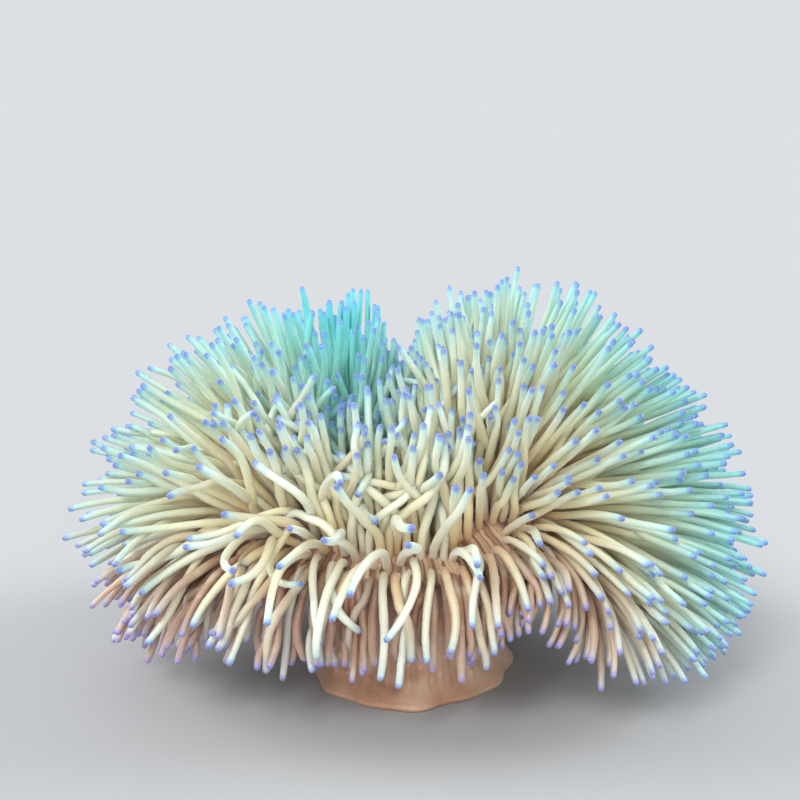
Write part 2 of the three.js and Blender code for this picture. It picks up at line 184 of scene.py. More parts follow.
# ---- girth, and how tentacles are pushed apart
RADIUS_AT, RADII = [-150, -40, 60, 150], [2.4, 2.45, 2.25, 2.2]         # by x of the root
FRONT_RADIUS = 2.7
FRONT_RADIUS_BAND = (0.3, 0.8)
GIRTH_VARIES = 0.06
GIRTH_LIMITS = (-0.15, 0.15)
STEPS = 16                     # points along a middle line
SPARE = 0.8                    # clear space wanted between two tentacles' skins
SETTLING_ROUNDS = 12
PUSH = 0.35                    # share of an overlap that one round takes away
STIFF_BASE = 4                 # a quarter of the length moves less and less towards the root
SMOOTHING = 0.1
FLOOR_CLEARANCE = 5            # lowest a middle line may hang

# ---- tubes
SIDES = 10
BODY_RINGS = 25
RING_CROWDING = 1.08           # a little more than 1 brings rings closer at the root
CAP_ANGLES = np.radians([16, 32, 48, 62, 75])
CAP_LENGTH = 1.25              # length of the round tip, as a multiple of its radius
TIP_TAPER = 0.78
TAPER_AT, TAPERS = [0, 0.12, 0.5, 0.85, 1], [0.9, 0.97, 1.0, 0.86, TIP_TAPER]
ROOT_FLARE, ROOT_FLARE_SHARE = 0.25, 0.025
UNEVEN = [(0.03, 17, 1), (0.02, 41, 2)]   # share of the radius, radians along, times the phase
TIP_INSET = 0.15
ROOT_DEPTH = 2.4               # how far a tube starts under the disc's surface
PIECES = 8
CELLS_ACROSS = 6               # a tube's cell of the UV map is this many times as tall as wide
CELL_INSET = 0.06

# ---- colour of the flesh, and painted bluish shade on the rim, the back and the valley
RIM_REACH, RIM_HEIGHT, RIM_FROM_Z = 205, 225, 90        # the ellipse that the rim lies on
RIM_BAND = (0.48, 1.0)
RIM_BLUISH_SHADE, RIM_LEFT_SHARE = 0.66, 0.45
RIGHT_AND_TOP_BAND, TOP_SLOPE, TOP_FROM_Z = (-60, 100), 1.6, 120
BACK_BLUISH_SHADE, BACK_BAND = 0.3, (-20, 110)
VALLEY_BLUISH_SHADE, VALLEY_X, VALLEY_SPREAD, VALLEY_BAND = 0.74, -42, 46, (-90, -10)
VALLEY_FADES, VALLEY_FADE_BAND = 0.75, (105, 165)       # it fades towards the far back
TONE_VARIES = 0.45
FRONT_PALER = 0.8              # tone taken off the tentacles of the front
FRONT_PALER_BAND = (0.6, 0.85)
DISC_LINES = 55                # detail of the radial lines on the disc
LINE_WANDER, LINE_WANDER_SCALE = 0.06, 45.0

# ---- camera, light and floor
CAMERA_TARGET = (-6, 0, 183)
CAMERA_DISTANCE = 780
CAMERA_ELEVATION = 14
SENSOR_WIDTH = 36
PIXELS_PER_UNIT_SLOPE = 1219   # focal length, in pixels of the 800-pixel picture
PICTURE_WIDTH = 800
LIGHT_TARGET = Vector((0, 0, 0))
SKY_COLOR = np.array([0.78, 0.81, 0.84])
SKY_STRENGTH = 0.92
SUNS = [  # name, from where, strength, colour, how wide it looks in degrees
    ("key", (-0.7, -1.4, 1.5), 1.7, (1.0, 0.98, 0.95), 20),
    ("fill", (0.3, -1.5, 0.35), 0.75, (1.0, 1.0, 1.0), 40),
    ("left", (-1.5, 0.3, 0.9), 1.6, (0.95, 1.0, 1.0), 30),
    ("right", (1.5, 0.3, 0.9), 1.75, (0.9, 0.98, 1.0), 30),
]
FLOOR_HALF = 60.0              # metres


def smooth_step(x, low, high):
    t = np.clip((x - low) / (high - low), 0, 1)
    return t * t * (3 - 2 * t)


def bell(x, centre, spread):
    """1 at the centre, falling to 0 on both sides."""
    return np.exp(-(((x - centre) / spread) ** 2))


def unit(v):
    return v / np.linalg.norm(v, axis=-1, keepdims=True)


def turn_from(angle, bearing):
    """Degrees from a bearing to an angle in radians, -180 to 180."""
    return (np.degrees(angle) - bearing + 180) % 360 - 180


# ---- surface of the oral disc
def margin_fall(angle):
    weight = bell(turn_from(angle[..., None], np.array(FALL_BEARINGS)), 0, FALL_BLEND)
    return (weight * np.array(FALLS)).sum(-1) / weight.sum(-1)


def lobes(x, y):
    """Rise of the two lobes, and its slope along x and y."""
    rise, slope_x, slope_y = np.zeros_like(x), np.zeros_like(x), np.zeros_like(x)
    for centre_x, centre_y, spread_x, spread_y, height in LOBES:
        u, v = (x - centre_x) / spread_x, (y - centre_y) / spread_y
        one = height * np.exp(-u * u - v * v)
        rise = rise + one
        slope_x = slope_x - 2 * u * one / spread_x
        slope_y = slope_y - 2 * v * one / spread_y
    return rise, slope_x, slope_y


def disc_point(share, angle):
    share, angle = np.broadcast_arrays(np.asarray(share, float), np.asarray(angle, float))
    reach = share * (1 - MARGIN_TUCK * share**MARGIN_TUCK_POWER)
    x = DISC_HALF_WIDTH * reach * np.cos(angle)
    y = DISC_HALF_DEPTH * reach * np.sin(angle)
    z = DISC_HEIGHT + lobes(x, y)[0] - margin_fall(angle) * share**FALL_POWER
    return np.stack([x, y, z], -1)


def disc_normal(share, angle, step=1e-3):
    share = np.maximum(share, 2 * step)
    outward = disc_point(share + step, angle) - disc_point(share - step, angle)
    around = disc_point(share, angle + step) - disc_point(share, angle - step)
    return unit(np.cross(outward, around))


# ---- tentacles: roots
def front_weight(root, angle, share):
    """1 in the middle of the front, 0 at the sides and the back."""
    spread = np.interp(share, FRONT_SPREAD_AT, FRONT_SPREADS)
    return bell(root[..., 0], FRONT_CENTRE_X, spread) * np.clip(-np.sin(angle), 0, 1)


def disc_roots(rng):
    """Share and angle of every root on the disc itself."""
    share = np.sqrt(rng.uniform(FIRST_SHARE**2, LAST_SHARE_SQUARED, CANDIDATES))
    angle = rng.uniform(-math.pi, math.pi, CANDIDATES)
    open_to_roots = np.ones(CANDIDATES, bool)
    for patch_share, bearing, share_reach, bearing_reach in BARE_PATCHES:
        turn = turn_from(angle, bearing)
        open_to_roots &= np.hypot((share - patch_share) / share_reach, turn / bearing_reach) > 1
    share, angle = share[open_to_roots], angle[open_to_roots]
    place = disc_point(share, angle)
    pitch = np.interp(place[:, 0], PITCH_AT, PITCHES)
    front_pitch = np.interp(share, HANGING_AT, [FRONT_PITCH, HANGING_PITCH])
    pitch += (front_pitch - pitch) * front_weight(place, angle, share)
    kept, kept_places = [], np.full((len(place), 3), np.inf)
    for index, point in enumerate(place):
        gap = kept_places[: len(kept)] - point
        if np.all((gap * gap).sum(1) > pitch[index] ** 2):
            kept_places[len(kept)] = point
            kept.append(index)
    return share[kept], angle[kept]


def margin_roots(rng):
    """Angle of every root on the margin's edge, and the share that it leans by, past 1."""
    angle = np.arange(MARGIN_TENTACLES) * 2 * math.pi / MARGIN_TENTACLES
    angle = angle + rng.normal(0, MARGIN_JITTER, MARGIN_TENTACLES)
    lean_share = rng.uniform(*MARGIN_LEAN_SHARES, MARGIN_TENTACLES)
    spared = MARGIN_SPARED * front_weight(disc_point(1, angle), angle, 1)
    stays = rng.uniform(0, 1, MARGIN_TENTACLES) > spared
    return angle[stays], lean_share[stays]


def under_row_brown_and_shade(root, lean_share):
    """1 on the under row of the front and left, brown partly by its own tone and partly as painted shade, 0
    on the tentacles above it.
    """
    leftward, frontward = -root[:, 0], -root[:, 1]
    side = np.maximum(smooth_step(leftward, *UNDER_LEFT_BAND), smooth_step(frontward, *UNDER_FRONT_BAND))
    far_left = smooth_step(leftward, *UNDER_FAR_LEFT_BAND)
    ribs = bell(root[:, 0], RIBS_X, RIBS_SPREAD) * smooth_step(frontward, *RIBS_BAND)
    low = smooth_step(lean_share + UNDER_WIDER * np.maximum(far_left, ribs), *UNDER_BAND)
    # painted shade as well as the row's own brown: strongest at the front and left, where the row hangs in
    # shade
    return low * (UNDER_LEAST + (1 - UNDER_LEAST) * side)


# ---- tentacles: middle lines
def first_headings(rng, root, angle, lean_share, front, unruly):
    lean = np.radians(
        np.interp(lean_share, LEAN_AT, LEANS) * (1 - front)
        + np.interp(lean_share, FRONT_LEAN_AT, FRONT_LEANS) * front
    )
    _, slope_x, slope_y = lobes(root[:, 0], root[:, 1])
    lobe_lean = SIDE_LOBE_LEAN + (FRONT_LOBE_LEAN - SIDE_LOBE_LEAN) * front
    x = np.cos(angle) * np.sin(lean) - lobe_lean * slope_x
    y = np.sin(angle) * np.sin(lean) - lobe_lean * slope_y
    heading = np.stack([x, y, np.cos(lean)], -1)
    varies = CALM_LEAN_VARIES + (UNRULY_LEAN_VARIES - CALM_LEAN_VARIES) * unruly[:, None]
    return unit(unit(heading) + varies * rng.normal(0, 1, heading.shape))


def tentacle_lengths(rng, root, angle, share, lean_share, front, under_brown_and_shade):
    varied = np.clip(rng.normal(0, LENGTH_VARIES, len(root)), *LENGTH_LIMITS)
    length = np.interp(lean_share, LENGTH_AT, LENGTHS) * (1 + varied)
    length *= 1 - front * np.interp(share, FRONT_SHORTER_AT, FRONT_SHORTER)
    reach = np.interp(turn_from(angle, 0), REACH_BEARINGS, REACHES)
    length *= 1 + (reach - 1) * smooth_step(share, *REACH_BAND)
    length *= 1 - LEFT_UNDER_SHORTER * under_brown_and_shade * smooth_step(-root[:, 0], *LEFT_UNDER_BAND)
    for centre_x, centre_y, spread_x, spread_y, change in LENGTH_CHANGES:
        u, v = (root[:, 0] - centre_x) / spread_x, (root[:, 1] - centre_y) / spread_y
        length *= 1 + change * np.exp(-u * u - v * v)
    return length


def tentacle_sags(root, share, front):
    left = smooth_step(-root[:, 0], *LEFT_SAG_X_BAND) * smooth_step(-root[:, 1], *LEFT_SAG_Y_BAND)
    side_sag = SIDE_SAG + LEFT_SAG * left
    return SAG * np.interp(share, SAG_AT, SAGS) * (side_sag + (FRONT_SAG - side_sag) * front)


def grow(rng):
    """Middle lines of all tentacles, (count, STEPS, 3), and for each its root's share and angle,
    its girth and how far it belongs to the under row."""
    share, angle = disc_roots(rng)
    rim_angle, rim_lean_share = margin_roots(rng)
    angle = np.concatenate([angle, rim_angle])
    lean_share = np.concatenate([share, rim_lean_share])
    share = np.minimum(lean_share, 1)
    count = len(share)
    root = disc_point(share, angle)
    front = front_weight(root, angle, share)
    under_brown_and_shade = under_row_brown_and_shade(root, lean_share)
    mixing = FRONT_MIXING * front * smooth_step(1 - share, *MIXING_BAND)
    lean_share = lean_share + mixing * rng.normal(0, 1, count)
    unruly = bell(root[:, 0], UNRULY_X, UNRULY_SPREAD) * smooth_step(-root[:, 1], *UNRULY_BAND)
    heading = first_headings(rng, root, angle, lean_share, front, unruly)
    length = tentacle_lengths(rng, root, angle, share, lean_share, front, under_brown_and_shade)
    stride = length / (STEPS - 1)
    sag = tentacle_sags(root, share, front)
    wave = CALM_WAVE + (UNRULY_WAVE - CALM_WAVE) * unruly
    sway, sway_more, kink = rng.normal(0, 1, (3, count, 3))
    kink_at = rng.uniform(*KINK_PLACES, count)
    kink = unit(kink) * (KINK * unruly * (rng.uniform(0, 1, count) < KINKED))[:, None]
    curl = bell(turn_from(angle, 0), CURL_BEARING, CURL_SPREAD) * smooth_step(lean_share, *CURL_BAND)
    lines = np.zeros((count, STEPS, 3))
    lines[:, 0] = root
    lines[:, 1] = root + unit(disc_normal(share, angle) + BASE_LEAN * heading) * stride[:, None]
    for step in range(2, STEPS):
        t = step / (STEPS - 1)
        bend = wave[:, None] * (sway * math.cos(SLOW_WAVE * t) + sway_more * math.sin(QUICK_WAVE * t))
        bend += kink * bell(t, kink_at, KINK_WIDTH)[:, None]
        bend[:, 2] -= sag
        bend[:, 0] -= CURL * curl
        heading = unit(heading + bend)
        lines[:, step] = lines[:, step - 1] + heading * stride[:, None]
    varied = 1 + np.clip(rng.normal(0, GIRTH_VARIES, count), *GIRTH_LIMITS)
    girth = np.interp(root[:, 0], RADIUS_AT, RADII)
    thicker = (FRONT_RADIUS - girth) * front * smooth_step(share, *FRONT_RADIUS_BAND)
    return lines, share, angle, (girth + thicker) * varied, under_brown_and_shade


def pushes(lines, girth):
    """How far each point moves so that tentacles which overlap part, averaged over its pairs."""
    flat = lines.reshape(-1, 3)
    tree = KDTree(len(flat))
    for index, point in enumerate(flat):
        tree.insert(point, index)
    tree.balance()
    widest = 2 * girth.max() + SPARE
    pairs = [
        (index, other)
        for index, point in enumerate(flat)
        for _, other, _ in tree.find_range(point, widest)
        if other > index and other // STEPS != index // STEPS
    ]
    a, b = np.array(pairs).T
    thick = np.repeat(girth, STEPS)
    apart = flat[a] - flat[b]
    distance = np.linalg.norm(apart, axis=1, keepdims=True) + 1e-6
    wanted = (thick[a] + thick[b])[:, None] + SPARE
    push = apart * np.maximum(wanted - distance, 0) / distance * PUSH
    moves, times = np.zeros_like(flat), np.zeros(len(flat))
    np.add.at(moves, a, push)
    np.add.at(moves, b, -push)
    np.add.at(times, a, 1)
    np.add.at(times, b, 1)
    return (moves / np.maximum(times, 1)[:, None]).reshape(lines.shape)


def settle(lines, girth):
    """Pushes tentacles that overlap apart, round by round; roots and lengths are kept."""
    roots = lines[:, 0].copy()
    strides = np.linalg.norm(lines[:, 1:] - lines[:, :-1], axis=-1, keepdims=True)
    free = np.clip(np.arange(STEPS) / (STEPS - 1) * STIFF_BASE, 0, 1)[None, :, None]
    for _ in range(SETTLING_ROUNDS):
        lines = lines + pushes(lines, girth) * free
        around = lines[:, :-2] + lines[:, 2:]
        lines[:, 1:-1] = (1 - 2 * SMOOTHING) * lines[:, 1:-1] + SMOOTHING * around
        for step in range(1, STEPS):
            heading = unit(lines[:, step] - lines[:, step - 1])
            lines[:, step] = lines[:, step - 1] + heading * strides[:, step - 1]
        lines[:, :, 2] = np.maximum(lines[:, :, 2], FLOOR_CLEARANCE)
        lines[:, 0] = roots
    return lines


# ---- tentacles: tubes
def spline(lines, t):
    """Catmull-Rom through each line's points, at shares t (count, rings) of its length."""
    ahead = 2 * lines[:, -1:] - lines[:, -2:-1]
    behind = 2 * lines[:, :1] - lines[:, 1:2]
    padded = np.concatenate([behind, lines, ahead], 1)
    place = np.clip(t, 0, 1 - 1e-9) * (lines.shape[1] - 1)
    cell = place.astype(int)
    f = (place - cell)[..., None]
    row = np.arange(len(lines))[:, None]
    p0, p1, p2, p3 = (padded[row, cell + k] for k in range(4))
    return 0.5 * (
        2 * p1 + (p2 - p0) * f + (2 * p0 - 5 * p1 + 4 * p2 - p3) * f**2
        + (3 * p1 - p0 - 3 * p2 + p3) * f**3
    )


def tube_radii(t, girth, phase):
    taper = np.interp(t, TAPER_AT, TAPERS)
    flare = 1 + ROOT_FLARE * np.exp(-t / ROOT_FLARE_SHARE)
    uneven = 1 + sum(height * np.sin(along * t + turns * phase) for height, along, turns in UNEVEN)
    radius = girth[:, None] * taper * flare * uneven
    radius[:, BODY_RINGS:] = radius[:, BODY_RINGS - 1 : BODY_RINGS] * np.cos(CAP_ANGLES)
    return radius


def sides_along(tangent):
    """A direction across each tube that turns as little as it can from ring to ring."""
    least = np.eye(3)[np.argmin(abs(tangent[:, 0]), 1)]
    sides = [unit(np.cross(tangent[:, 0], least))]
    for ring in range(1, tangent.shape[1]):
        along = tangent[:, ring]
        side = sides[-1] - (sides[-1] * along).sum(-1, keepdims=True) * along
        sides.append(unit(side))
    return np.stack(sides, 1)


def tube_points(lines, girth, rng):
    """Rings of every tube, (count, rings, SIDES, 3), with their shares, tips and lengths."""
    count = len(lines)
    length = np.linalg.norm(lines[:, 1:] - lines[:, :-1], axis=-1).sum(1)
    cap = TIP_TAPER * CAP_LENGTH * girth / length
    body = np.linspace(0, 1, BODY_RINGS) ** RING_CROWDING
    t_body = body[None, :] * (1 - cap[:, None])
    t_cap = 1 - cap[:, None] * (1 - np.sin(CAP_ANGLES))[None, :]
    t = np.concatenate([t_body, t_cap], 1)
    middle = spline(lines, t)
    tangent = np.empty_like(middle)
    tangent[:, 1:-1] = middle[:, 2:] - middle[:, :-2]
    tangent[:, 0] = middle[:, 1] - middle[:, 0]
    tangent[:, -1] = middle[:, -1] - middle[:, -2]
    tangent = unit(tangent)
    radius = tube_radii(t, girth, rng.uniform(0, 2 * math.pi, (count, 1)))
    side = sides_along(tangent)
    other = np.cross(tangent, side)
    turn = np.arange(SIDES) * 2 * math.pi / SIDES
    rings = middle[:, :, None] + radius[..., None, None] * (
        side[:, :, None] * np.cos(turn)[:, None] + other[:, :, None] * np.sin(turn)[:, None]
    )
    tips = spline(lines, np.ones((count, 1)))[:, 0] - tangent[:, -1] * TIP_INSET
    return rings, t, tips, length


def mesh_object(name, corners, quads, triangles, material):
    mesh = bpy.data.meshes.new(name)
    mesh.vertices.add(len(corners))
    mesh.vertices.foreach_set("co", (corners * MM).ravel())
    loops = np.concatenate([quads.ravel(), triangles.ravel()])
    mesh.loops.add(len(loops))
    mesh.loops.foreach_set("vertex_index", loops)
    sizes = np.concatenate([np.full(len(quads), 4), np.full(len(triangles), 3)])
    mesh.polygons.add(len(sizes))
    mesh.polygons.foreach_set("loop_start", np.concatenate([[0], np.cumsum(sizes)[:-1]]))
    mesh.update(calc_edges=True)
    mesh.shade_smooth()
    mesh.materials.append(material)
    thing = bpy.data.objects.new(name, mesh)
    bpy.context.scene.collection.objects.link(thing)
    return thing


def add_attribute(thing, name, values):
    layer = thing.data.attributes.new(name, "FLOAT", "POINT")
    layer.data.foreach_set("value", np.asarray(values, np.float32).ravel())


def add_bake_map(thing, places):
    layer = thing.data.uv_layers.new(name="OFBake")
    layer.data.foreach_set("uv", np.asarray(places, np.float32).ravel())


def ring_quads(ring_count, around):
    """Ring and place of every quad between neighbouring rings, and the quads' corners."""
    ring, place = np.meshgrid(np.arange(ring_count - 1), np.arange(around), indexing="ij")
    ring, place = ring.ravel(), place.ravel()
    after = (place + 1) % around
    near, far = ring * around, (ring + 1) * around
    return ring, place, np.stack([near + place, near + after, far + after, far + place], 1)


def end_triangles(first, around, middle, outward):
    """A fan that closes the ring of corners from `first` on, round the corner `middle`."""
    here = np.arange(around)
    following = (here + 1) % around
    edge = (here, following) if outward else (following, here)
    return np.stack([first + edge[0], first + edge[1], np.full(around, middle)], 1)


def ring_places(ring, place, around, v):
    """UV places of the quads' corners, with the ring's height v up the map."""
    u, u_after = place / around, (place + 1) / around
    low, high = v[ring], v[ring + 1]
    return np.stack([u, low, u_after, low, u_after, high, u, high], 1)


def end_places(around, ring_v, middle_v, outward):
    here = np.arange(around)
    u, u_after, one = here / around, (here + 1) / around, np.ones(around)
    edge = (u, u_after) if outward else (u_after, u)
    return np.stack([edge[0], ring_v * one, edge[1], ring_v * one, (u + u_after) / 2, middle_v * one], 1)


def tube_map(count, ring_count, ring, side):
    """OFBake places of a piece: one upright cell of the map for each tube."""
    columns = math.ceil(math.sqrt(count * CELLS_ACROSS))
    rows = math.ceil(count / columns)
    cell = np.stack([np.arange(count) % columns, np.arange(count) // columns], 1)
    scale = np.array([1 / columns, 1 / rows])
    v = np.linspace(0, 1, ring_count + 2)[1:-1]
    quads = ring_places(ring, side, SIDES, v)
    caps = [end_places(SIDES, v[-1], 1, True), end_places(SIDES, v[0], 0, False)]
    maps = []
    for local in (quads, np.concatenate(caps)):
        shrunk = CELL_INSET + (1 - 2 * CELL_INSET) * local.reshape(len(local), -1, 2)
        maps.append(((cell[:, None, None] + shrunk[None]) * scale).reshape(-1, 2))
    return np.concatenate(maps)


def tentacle_piece(number, rings, t, tips, length, roots, tone, under_brown_and_shade, material):
    """One piece: a joined mesh of tubes, each closed by a tip and by a root inside the skin."""
    count, ring_count = rings.shape[:2]
    per_tube = ring_count * SIDES + 2
    corners = np.concatenate([rings.reshape(count, -1, 3), tips[:, None], roots[:, None]], 1)
    ring, side, quads = ring_quads(ring_count, SIDES)
    top = end_triangles((ring_count - 1) * SIDES, SIDES, per_tube - 2, True)
    bottom = end_triangles(0, SIDES, per_tube - 1, False)
    first = (np.arange(count) * per_tube)[:, None, None]
    quads = (quads[None] + first).reshape(-1, 4)
    triangles = (np.concatenate([top, bottom])[None] + first).reshape(-1, 3)
    thing = mesh_object(f"tentacles_{number}", corners.reshape(-1, 3), quads, triangles, material)
    shares = np.concatenate([np.repeat(t, SIDES, 1), np.ones((count, 1)), np.zeros((count, 1))], 1)
    add_attribute(thing, "from_root", shares)
    add_attribute(thing, "from_tip", (1 - shares) * length[:, None])
    add_attribute(thing, "tone", np.repeat(tone, per_tube))
    # weight of the under row: its own brown and painted shade
    add_attribute(thing, "under_brown_and_shade", np.repeat(under_brown_and_shade, per_tube))
    # painted bluish shade, by place on the animal
    add_attribute(thing, "bluish_shade", bluish_shade_share(corners.reshape(-1, 3)))
    add_bake_map(thing, tube_map(count, ring_count, ring, side))
    return thing


def bluish_shade_share(points):
    """How far painted bluish shade turns the flesh from cream to aqua: in the valley, and towards the back
    and the rim.
    """
    x, y, z = points.T
    rim = np.hypot(x / RIM_REACH, (z - RIM_FROM_Z).clip(0) / RIM_HEIGHT)
    right_and_top = smooth_step(x + TOP_SLOPE * (z - TOP_FROM_Z), *RIGHT_AND_TOP_BAND)
    back = smooth_step(y, *BACK_BAND)
    valley = bell(x, VALLEY_X, VALLEY_SPREAD) * smooth_step(y, *VALLEY_BAND)
    valley *= 1 - VALLEY_FADES * smooth_step(y, *VALLEY_FADE_BAND)
    outer = smooth_step(rim, *RIM_BAND) * (RIM_LEFT_SHARE + (1 - RIM_LEFT_SHARE) * right_and_top)
    return np.clip(RIM_BLUISH_SHADE * outer + BACK_BLUISH_SHADE * back + VALLEY_BLUISH_SHADE * valley, 0, 1)


# ---- skin
def under_disc(share, angle):
    thick = np.interp(share, [FLARE_SHARE, 1], [DISC_THICKNESS, MARGIN_THICKNESS])
    return disc_point(share, angle) - thick * disc_normal(share, angle)


def lip_point(share, angle):
    """A place on the lips, which swell round the slit and draw in to it from both sides."""
    point = disc_point(share, angle)
    ring = share / MOUTH_SHARE
    beside = LIP_AT_ENDS + LIP_AT_SIDES * np.sin(angle) ** 2
    swell = math.sin(math.pi * min(ring, 1)) ** LIP_ROUNDNESS * LIP_RISE * beside
    folds = 1 + LIP_FOLD_DEPTH * np.sin(LIP_FOLDS * angle) * ring
    point[:, 2] += swell * folds - SLIT_DEPTH * (1 - smooth_step(ring, *SLIT_BAND))
    point[:, 1] *= SLIT_NARROW + (1 - SLIT_NARROW) * smooth_step(ring, *NARROW_BAND)
    return point


def skin_rows():
    """Rings of the skin from the middle of the foot to the middle of the mouth, with the numbers
    of the first ring under the disc and the first one on it, and the angles round a ring."""
    angle = np.arange(SKIN_AROUND) * 2 * math.pi / SKIN_AROUND
    circle = np.stack([np.cos(angle), np.sin(angle), 0 * angle], 1)
    lobed = sum(height * np.sin(number * angle + phase) for height, number, phase in FOOT_LOBES)
    foot = circle * (1 + lobed[:, None])
    flat = FOOT_RADIUS - FOOT_EDGE
    rows = [foot * flat * share for share in np.linspace(FIRST_RING, 1, FOOT_RINGS)]
    for turn in np.radians(EDGE_TURNS):
        reach = flat + FOOT_EDGE * math.sin(turn)
        rows.append(foot * reach + [0, 0, FOOT_EDGE * (1 - math.cos(turn))])
    for rise in np.linspace(0, 1, WAIST_RINGS)[1:]:
        radius = FOOT_RADIUS + (WAIST_RADIUS - FOOT_RADIUS) * (1 - (1 - rise) ** WAIST_POWER)
        outline = circle * (1 + lobed[:, None] * (1 - rise) ** 2)
        rows.append(outline * radius + [0, 0, FOOT_EDGE + (WAIST_HEIGHT - FOOT_EDGE) * rise])
    rim = under_disc(FLARE_SHARE, angle)
    for rise in np.linspace(0, 1, COLUMN_RINGS)[1:-1]:
        spread = rise**FLARE_POWER
        row = circle * WAIST_RADIUS * (1 - spread) + rim * spread
        row[:, 2] = WAIST_HEIGHT + (rim[:, 2] - WAIST_HEIGHT) * rise
        rows.append(row)
    column_rows = len(rows)
    rows += [under_disc(share, angle) for share in np.linspace(FLARE_SHARE, 1, UNDERSIDE_RINGS)]
    edge, normal = disc_point(1.0, angle), disc_normal(1.0, angle)
    outward = unit(np.cross(np.roll(edge, -1, 0) - np.roll(edge, 1, 0), normal))
    half = MARGIN_THICKNESS / 2
    for turn in np.radians(MARGIN_TURNS):
        rows.append(edge - normal * half + half * (math.cos(turn) * outward + math.sin(turn) * normal))
    disc_rows = len(rows)
    rows += [disc_point(share, angle) for share in np.linspace(1, MOUTH_SHARE, DISC_RINGS)]
    rows += [lip_point(share, angle) for share in np.linspace(MOUTH_SHARE, LAST_RING, MOUTH_RINGS)[1:]]
    return np.array(rows), column_rows, disc_rows, angle


def smooth_join(rows, column_rows):
    """Rounds the corner where the column meets the underside of the disc."""
    start, end = column_rows - JOIN_BELOW, column_rows + JOIN_ABOVE
    for _ in range(JOIN_ROUNDS):
        beside = rows[start + 1 : end + 1] + rows[start - 1 : end - 1]
        rows[start:end] = 0.5 * rows[start:end] + 0.25 * beside


def wart_height(index, angle):
    """0 between the sticky warts of the column, 1 on their tops; they stand in upright rows."""
    shifted = index + 1.4 * np.sin(7 * angle) + np.sin(13 * angle + 1)
    across = np.cos(WART_COLUMNS / 2 * angle + 0.5 * np.sin(index / 3)) ** 2
    along = np.cos(math.pi * shifted / WART_ROWS / 2) ** 2
    return smooth_step(across * along, *WART_BAND) * (WART_LEAST + WART_VARIES * np.sin(5 * angle + index))


def column_relief(index, angle):
    """Ridges that run up the column, and wrinkles that cross it, strongest above the foot."""
    broad, narrow, fine, finest = RIDGES
    ridges = broad * np.sin(5 * angle + index / 13) + narrow * np.sin(11 * angle - index / 9)
    ridges = ridges + fine * np.sin(23 * angle + 2 * np.sin(4 * angle) + index / 17)
    ridges = ridges + finest * np.sin(61 * angle + 3 * np.sin(5 * angle))
    wrinkles = np.sin(index * 0.8 + 2.4 * np.sin(3 * angle)[None] + 1.8 * np.sin(7 * angle)[None])
    strength = WRINKLE_SHARE + FOOT_WRINKLE_SHARE * (1 - smooth_step(index, *WRINKLED_ROWS))
    return ridges + wrinkles * strength


def skin_normals(rows):
    """Outward normals of the skin's points."""
    count = len(rows)
    ahead = rows[(np.arange(count) + 1).clip(max=count - 1)]
    behind = rows[(np.arange(count) - 1).clip(0)]
    around = np.roll(rows, -1, 1) - np.roll(rows, 1, 1)
    return -unit(np.cross(ahead - behind + 1e-9, around) + 1e-12)


def add_skin_attributes(thing, count, column_rows, disc_rows, warts):
    """Each attribute's value at every point, and last in the middles of the foot and the mouth."""
    index = np.arange(count)
    on_disc = smooth_step(index - disc_rows, *DISC_COLOR_ROWS)
    share = np.interp(index, [disc_rows, count], [1, 0])
    shade_under_disc = smooth_step(index - column_rows, *SHADE_UNDER_DISC_ROWS)
    add_attribute(thing, "on_disc", np.concatenate([np.repeat(on_disc, SKIN_AROUND), [0, 1]]))
    add_attribute(thing, "share", np.concatenate([np.repeat(share, SKIN_AROUND), [0, 0]]))
    add_attribute(thing, "wart", np.concatenate([warts.ravel(), [0, 0]]))
    # painted shade under the disc
    add_attribute(thing, "shade_under_disc", np.concatenate([np.repeat(shade_under_disc, SKIN_AROUND), [0, 0]]))


def make_skin(material):
    rows, column_rows, disc_rows, angle = skin_rows()
    smooth_join(rows, column_rows)
    count = len(rows)
    index = np.arange(count)[:, None]
    after_disc, after_last = index - disc_rows, index - count
    on_column = smooth_step(index, *COLUMN_FADE_IN) * (1 - smooth_step(after_disc, *COLUMN_FADE_OUT))
    on_disc = smooth_step(after_disc, *DISC_FADE_IN) * (1 - smooth_step(after_last, *DISC_FADE_OUT))
    warts = wart_height(index, angle)
    coarse, fine = FURROWS
    furrows = coarse * np.sin(11 * angle + index / 7) + fine * np.sin(29 * angle - index / 5)
    rise = on_column * (column_relief(index, angle) + WART_RISE * warts) + on_disc * furrows
    rows = rows + skin_normals(rows) * rise[..., None]

    corners = np.concatenate([rows.reshape(-1, 3), [rows[0].mean(0), rows[-1].mean(0)]])
    ring, place, quads = ring_quads(count, SKIN_AROUND)
    foot_middle, mouth_middle = count * SKIN_AROUND, count * SKIN_AROUND + 1
    low = end_triangles(0, SKIN_AROUND, foot_middle, False)
    high = end_triangles((count - 1) * SKIN_AROUND, SKIN_AROUND, mouth_middle, True)
    thing = mesh_object("skin", corners, quads, np.concatenate([low, high]), material)
    add_skin_attributes(thing, count, column_rows, disc_rows, on_column * warts)
    v = (np.arange(count) + 1) / (count + 1)
    ends = [end_places(SKIN_AROUND, v[0], 0, False), end_places(SKIN_AROUND, v[-1], 1, True)]
    places = [ring_places(ring, place, SKIN_AROUND, v), *ends]
    add_bake_map(thing, np.concatenate([part.reshape(-1, 2) for part in places]))
    return thing


